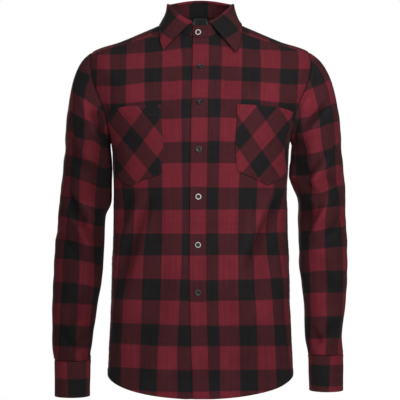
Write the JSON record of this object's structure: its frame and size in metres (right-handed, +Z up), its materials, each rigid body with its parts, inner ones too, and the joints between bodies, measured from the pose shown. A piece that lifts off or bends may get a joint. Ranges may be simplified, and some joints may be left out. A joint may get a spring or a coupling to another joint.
{
  "type": "flannel shirt",
  "caption": "Long-sleeved flannel shirt in a red and black check, buttoned, hollow as worn, with a turned-down collar and bias patch pockets.",
  "frame": {"origin": "the middle of the base of the neck, between the shoulders that carry the shirt", "axes": "+Z up towards the collar, -Y towards the buttoned front, +X towards the wearer's left"},
  "size_m": [0.5877, 0.2562, 0.8077],
  "materials": {
    "check_flannel": "brushed check flannel, matt with a soft nap",
    "button_resin": "polished dark resin",
    "label_tape": "woven tape, matt"
  },
  "bodies": {
    "root": {"front_left": "check_flannel", "front_right": "check_flannel", "front_band": "check_flannel", "back_panel": "check_flannel", "yoke": "check_flannel", "collar_stand": "check_flannel", "collar_leaf": "check_flannel", "sleeve_left": "check_flannel", "sleeve_right": "check_flannel", "sleeve_placket_left": "check_flannel", "sleeve_placket_right": "check_flannel", "cuff_left": "check_flannel", "cuff_right": "check_flannel", "pocket_left": "check_flannel", "pocket_right": "check_flannel", "neck_button": "button_resin", "front_button_1": "button_resin", "front_button_2": "button_resin", "front_button_3": "button_resin", "front_button_4": "button_resin", "front_button_5": "button_resin", "front_button_6": "button_resin", "cuff_button_left": "button_resin", "cuff_button_right": "button_resin", "neck_label": "label_tape"}
  },
  "joints": []
}
